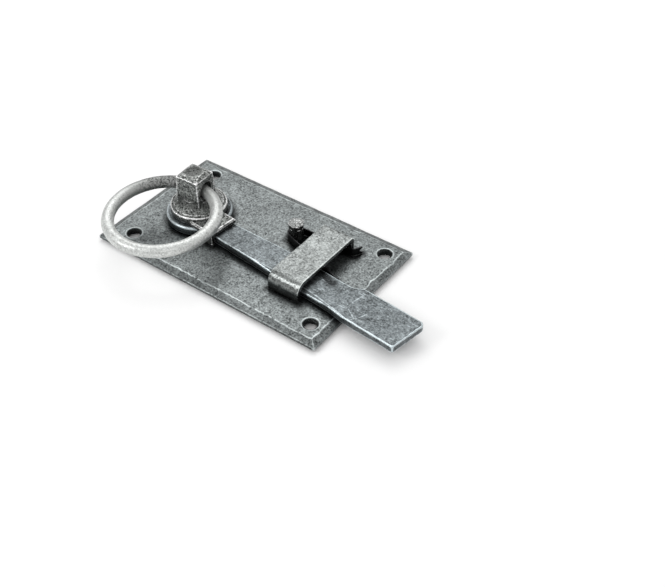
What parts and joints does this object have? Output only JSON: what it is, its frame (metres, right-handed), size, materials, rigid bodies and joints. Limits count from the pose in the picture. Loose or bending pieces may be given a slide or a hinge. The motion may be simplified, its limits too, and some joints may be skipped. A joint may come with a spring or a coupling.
{
  "type": "rim latch",
  "caption": "Rim latch on a bevelled plate: a ring handle turns a boss whose arm lifts a sprung latch bar held by a staple.",
  "frame": {"origin": "centre of the back plate on its back face, which lies against the door", "axes": "+X along the plate towards the nose of the bar, +Y the way the bar lifts, +Z out of the door"},
  "size_m": [0.1904, 0.1086, 0.0349],
  "materials": {
    "plate_steel": "pewter patina, satin, finely pitted",
    "staple_steel": "pewter patina rubbed pale",
    "bar_steel": "pewter patina with bright arrises",
    "casting_iron": "rough cast, dark pits, bright arrises",
    "ring_steel": "rubbed bright",
    "rivet_steel": "hammered, rubbed bright",
    "spring_steel": "blackened spring steel"
  },
  "bodies": {
    "plate": {"back_plate": "plate_steel", "staple": "staple_steel", "spring_post": "rivet_steel", "hairpin_spring": "spring_steel"},
    "handle": {"handle_boss": "casting_iron", "retaining_washer": "plate_steel"},
    "bar": {"latch_bar": "bar_steel"},
    "ring": {"pull_ring": "ring_steel"}
  },
  "joints": [
    {"name": "handle_turn", "type": "hinge", "parent": "plate", "child": "handle", "pos_m": [-0.04, 0, 0.0093], "axis": [0, 0, 1], "range_deg": [0, 10]},
    {"name": "bar_lift", "type": "hinge", "parent": "plate", "child": "bar", "pos_m": [-0.04, 0, 0.0064], "axis": [0, 0, 1], "range_deg": [0, 10], "stiffness_Nm_per_rad": 1.5, "springref_deg": -5.73, "deforming": ["hairpin_spring"]},
    {"name": "ring_swing", "type": "hinge", "parent": "handle", "child": "ring", "pos_m": [-0.0408, -0.00005, 0.0241], "axis": [0.9982, 0.0593, 0], "range_deg": [-198, 16]}
  ],
  "couplings": [
    {"joint": "bar_lift", "follows": "handle_turn", "ratio": 1}
  ]
}
